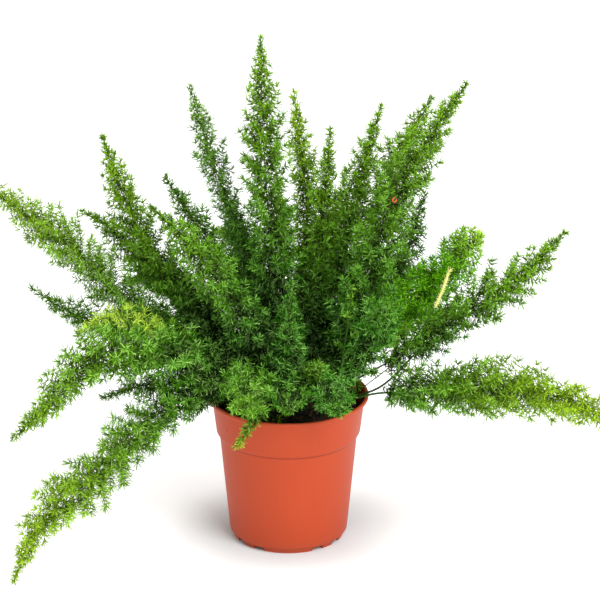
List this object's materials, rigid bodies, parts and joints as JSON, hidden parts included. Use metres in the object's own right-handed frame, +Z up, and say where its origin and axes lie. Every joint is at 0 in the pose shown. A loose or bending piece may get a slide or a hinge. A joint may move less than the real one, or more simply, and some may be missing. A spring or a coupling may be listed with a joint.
{
  "type": "potted foxtail fern",
  "caption": "Foxtail asparagus fern with arching needle-covered plumes, growing in a round tapered plastic nursery pot with soil.",
  "frame": {"origin": "on the pot's axis, on the surface that the pot stands on", "axes": "+Z up, +X to the right as seen from the front, +Y away from the viewer; the front (-Y) has the trailing plume on its left"},
  "size_m": [0.5966, 0.3491, 0.478],
  "materials": {
    "pot_plastic": "satin moulded terracotta-coloured plastic",
    "potting_soil": "dark crumbly potting mix",
    "withered_stem": "dry, pale yellow",
    "foliage_dark": "waxy needles, dark green",
    "foliage_mid": "waxy needles, mid green",
    "foliage_bright": "waxy needles, light green",
    "foliage_yellow": "young needles, yellow-green"
  },
  "bodies": {
    "root": {"pot": "pot_plastic", "soil": "potting_soil", "withered_shoot": "withered_stem", "plume_top_tall": "foliage_mid", "plume_top_left": "foliage_mid", "plume_left_high": "foliage_mid", "plume_left_high_thin": "foliage_mid", "plume_left_long": "foliage_bright", "plume_left_thin": "foliage_dark", "plume_top_left_short": "foliage_dark", "plume_front_left_tall": "foliage_mid", "plume_top_pale": "foliage_bright", "plume_top_short": "foliage_mid", "plume_top_right_thin": "foliage_mid", "plume_top_small": "foliage_mid", "plume_right_tall": "foliage_mid", "plume_right_tall_behind": "foliage_mid", "plume_right_behind": "foliage_dark", "plume_right_yellow": "foliage_yellow", "plume_right_long": "foliage_mid", "plume_right_middle": "foliage_mid", "plume_right_low": "foliage_bright", "plume_left_trailing": "foliage_bright", "plume_left_arching": "foliage_bright", "plume_left_dark": "foliage_dark", "plume_left_yellow": "foliage_yellow", "plume_front_left_head": "foliage_bright", "plume_front_head": "foliage_mid", "plume_front_right_head": "foliage_mid", "plume_front_cone": "foliage_mid", "plume_front_low_cone": "foliage_mid", "plume_front_small_head": "foliage_bright", "plume_over_rim": "foliage_bright", "plume_front_pale_stem": "foliage_mid", "plume_right_head": "foliage_mid", "plume_back_1": "foliage_mid", "plume_back_2": "foliage_mid", "plume_back_3": "foliage_dark", "plume_back_4": "foliage_dark", "plume_back_5": "foliage_mid", "plume_back_6": "foliage_mid", "plume_back_7": "foliage_mid", "plume_back_8": "foliage_mid", "plume_back_9": "foliage_dark"}
  },
  "joints": []
}
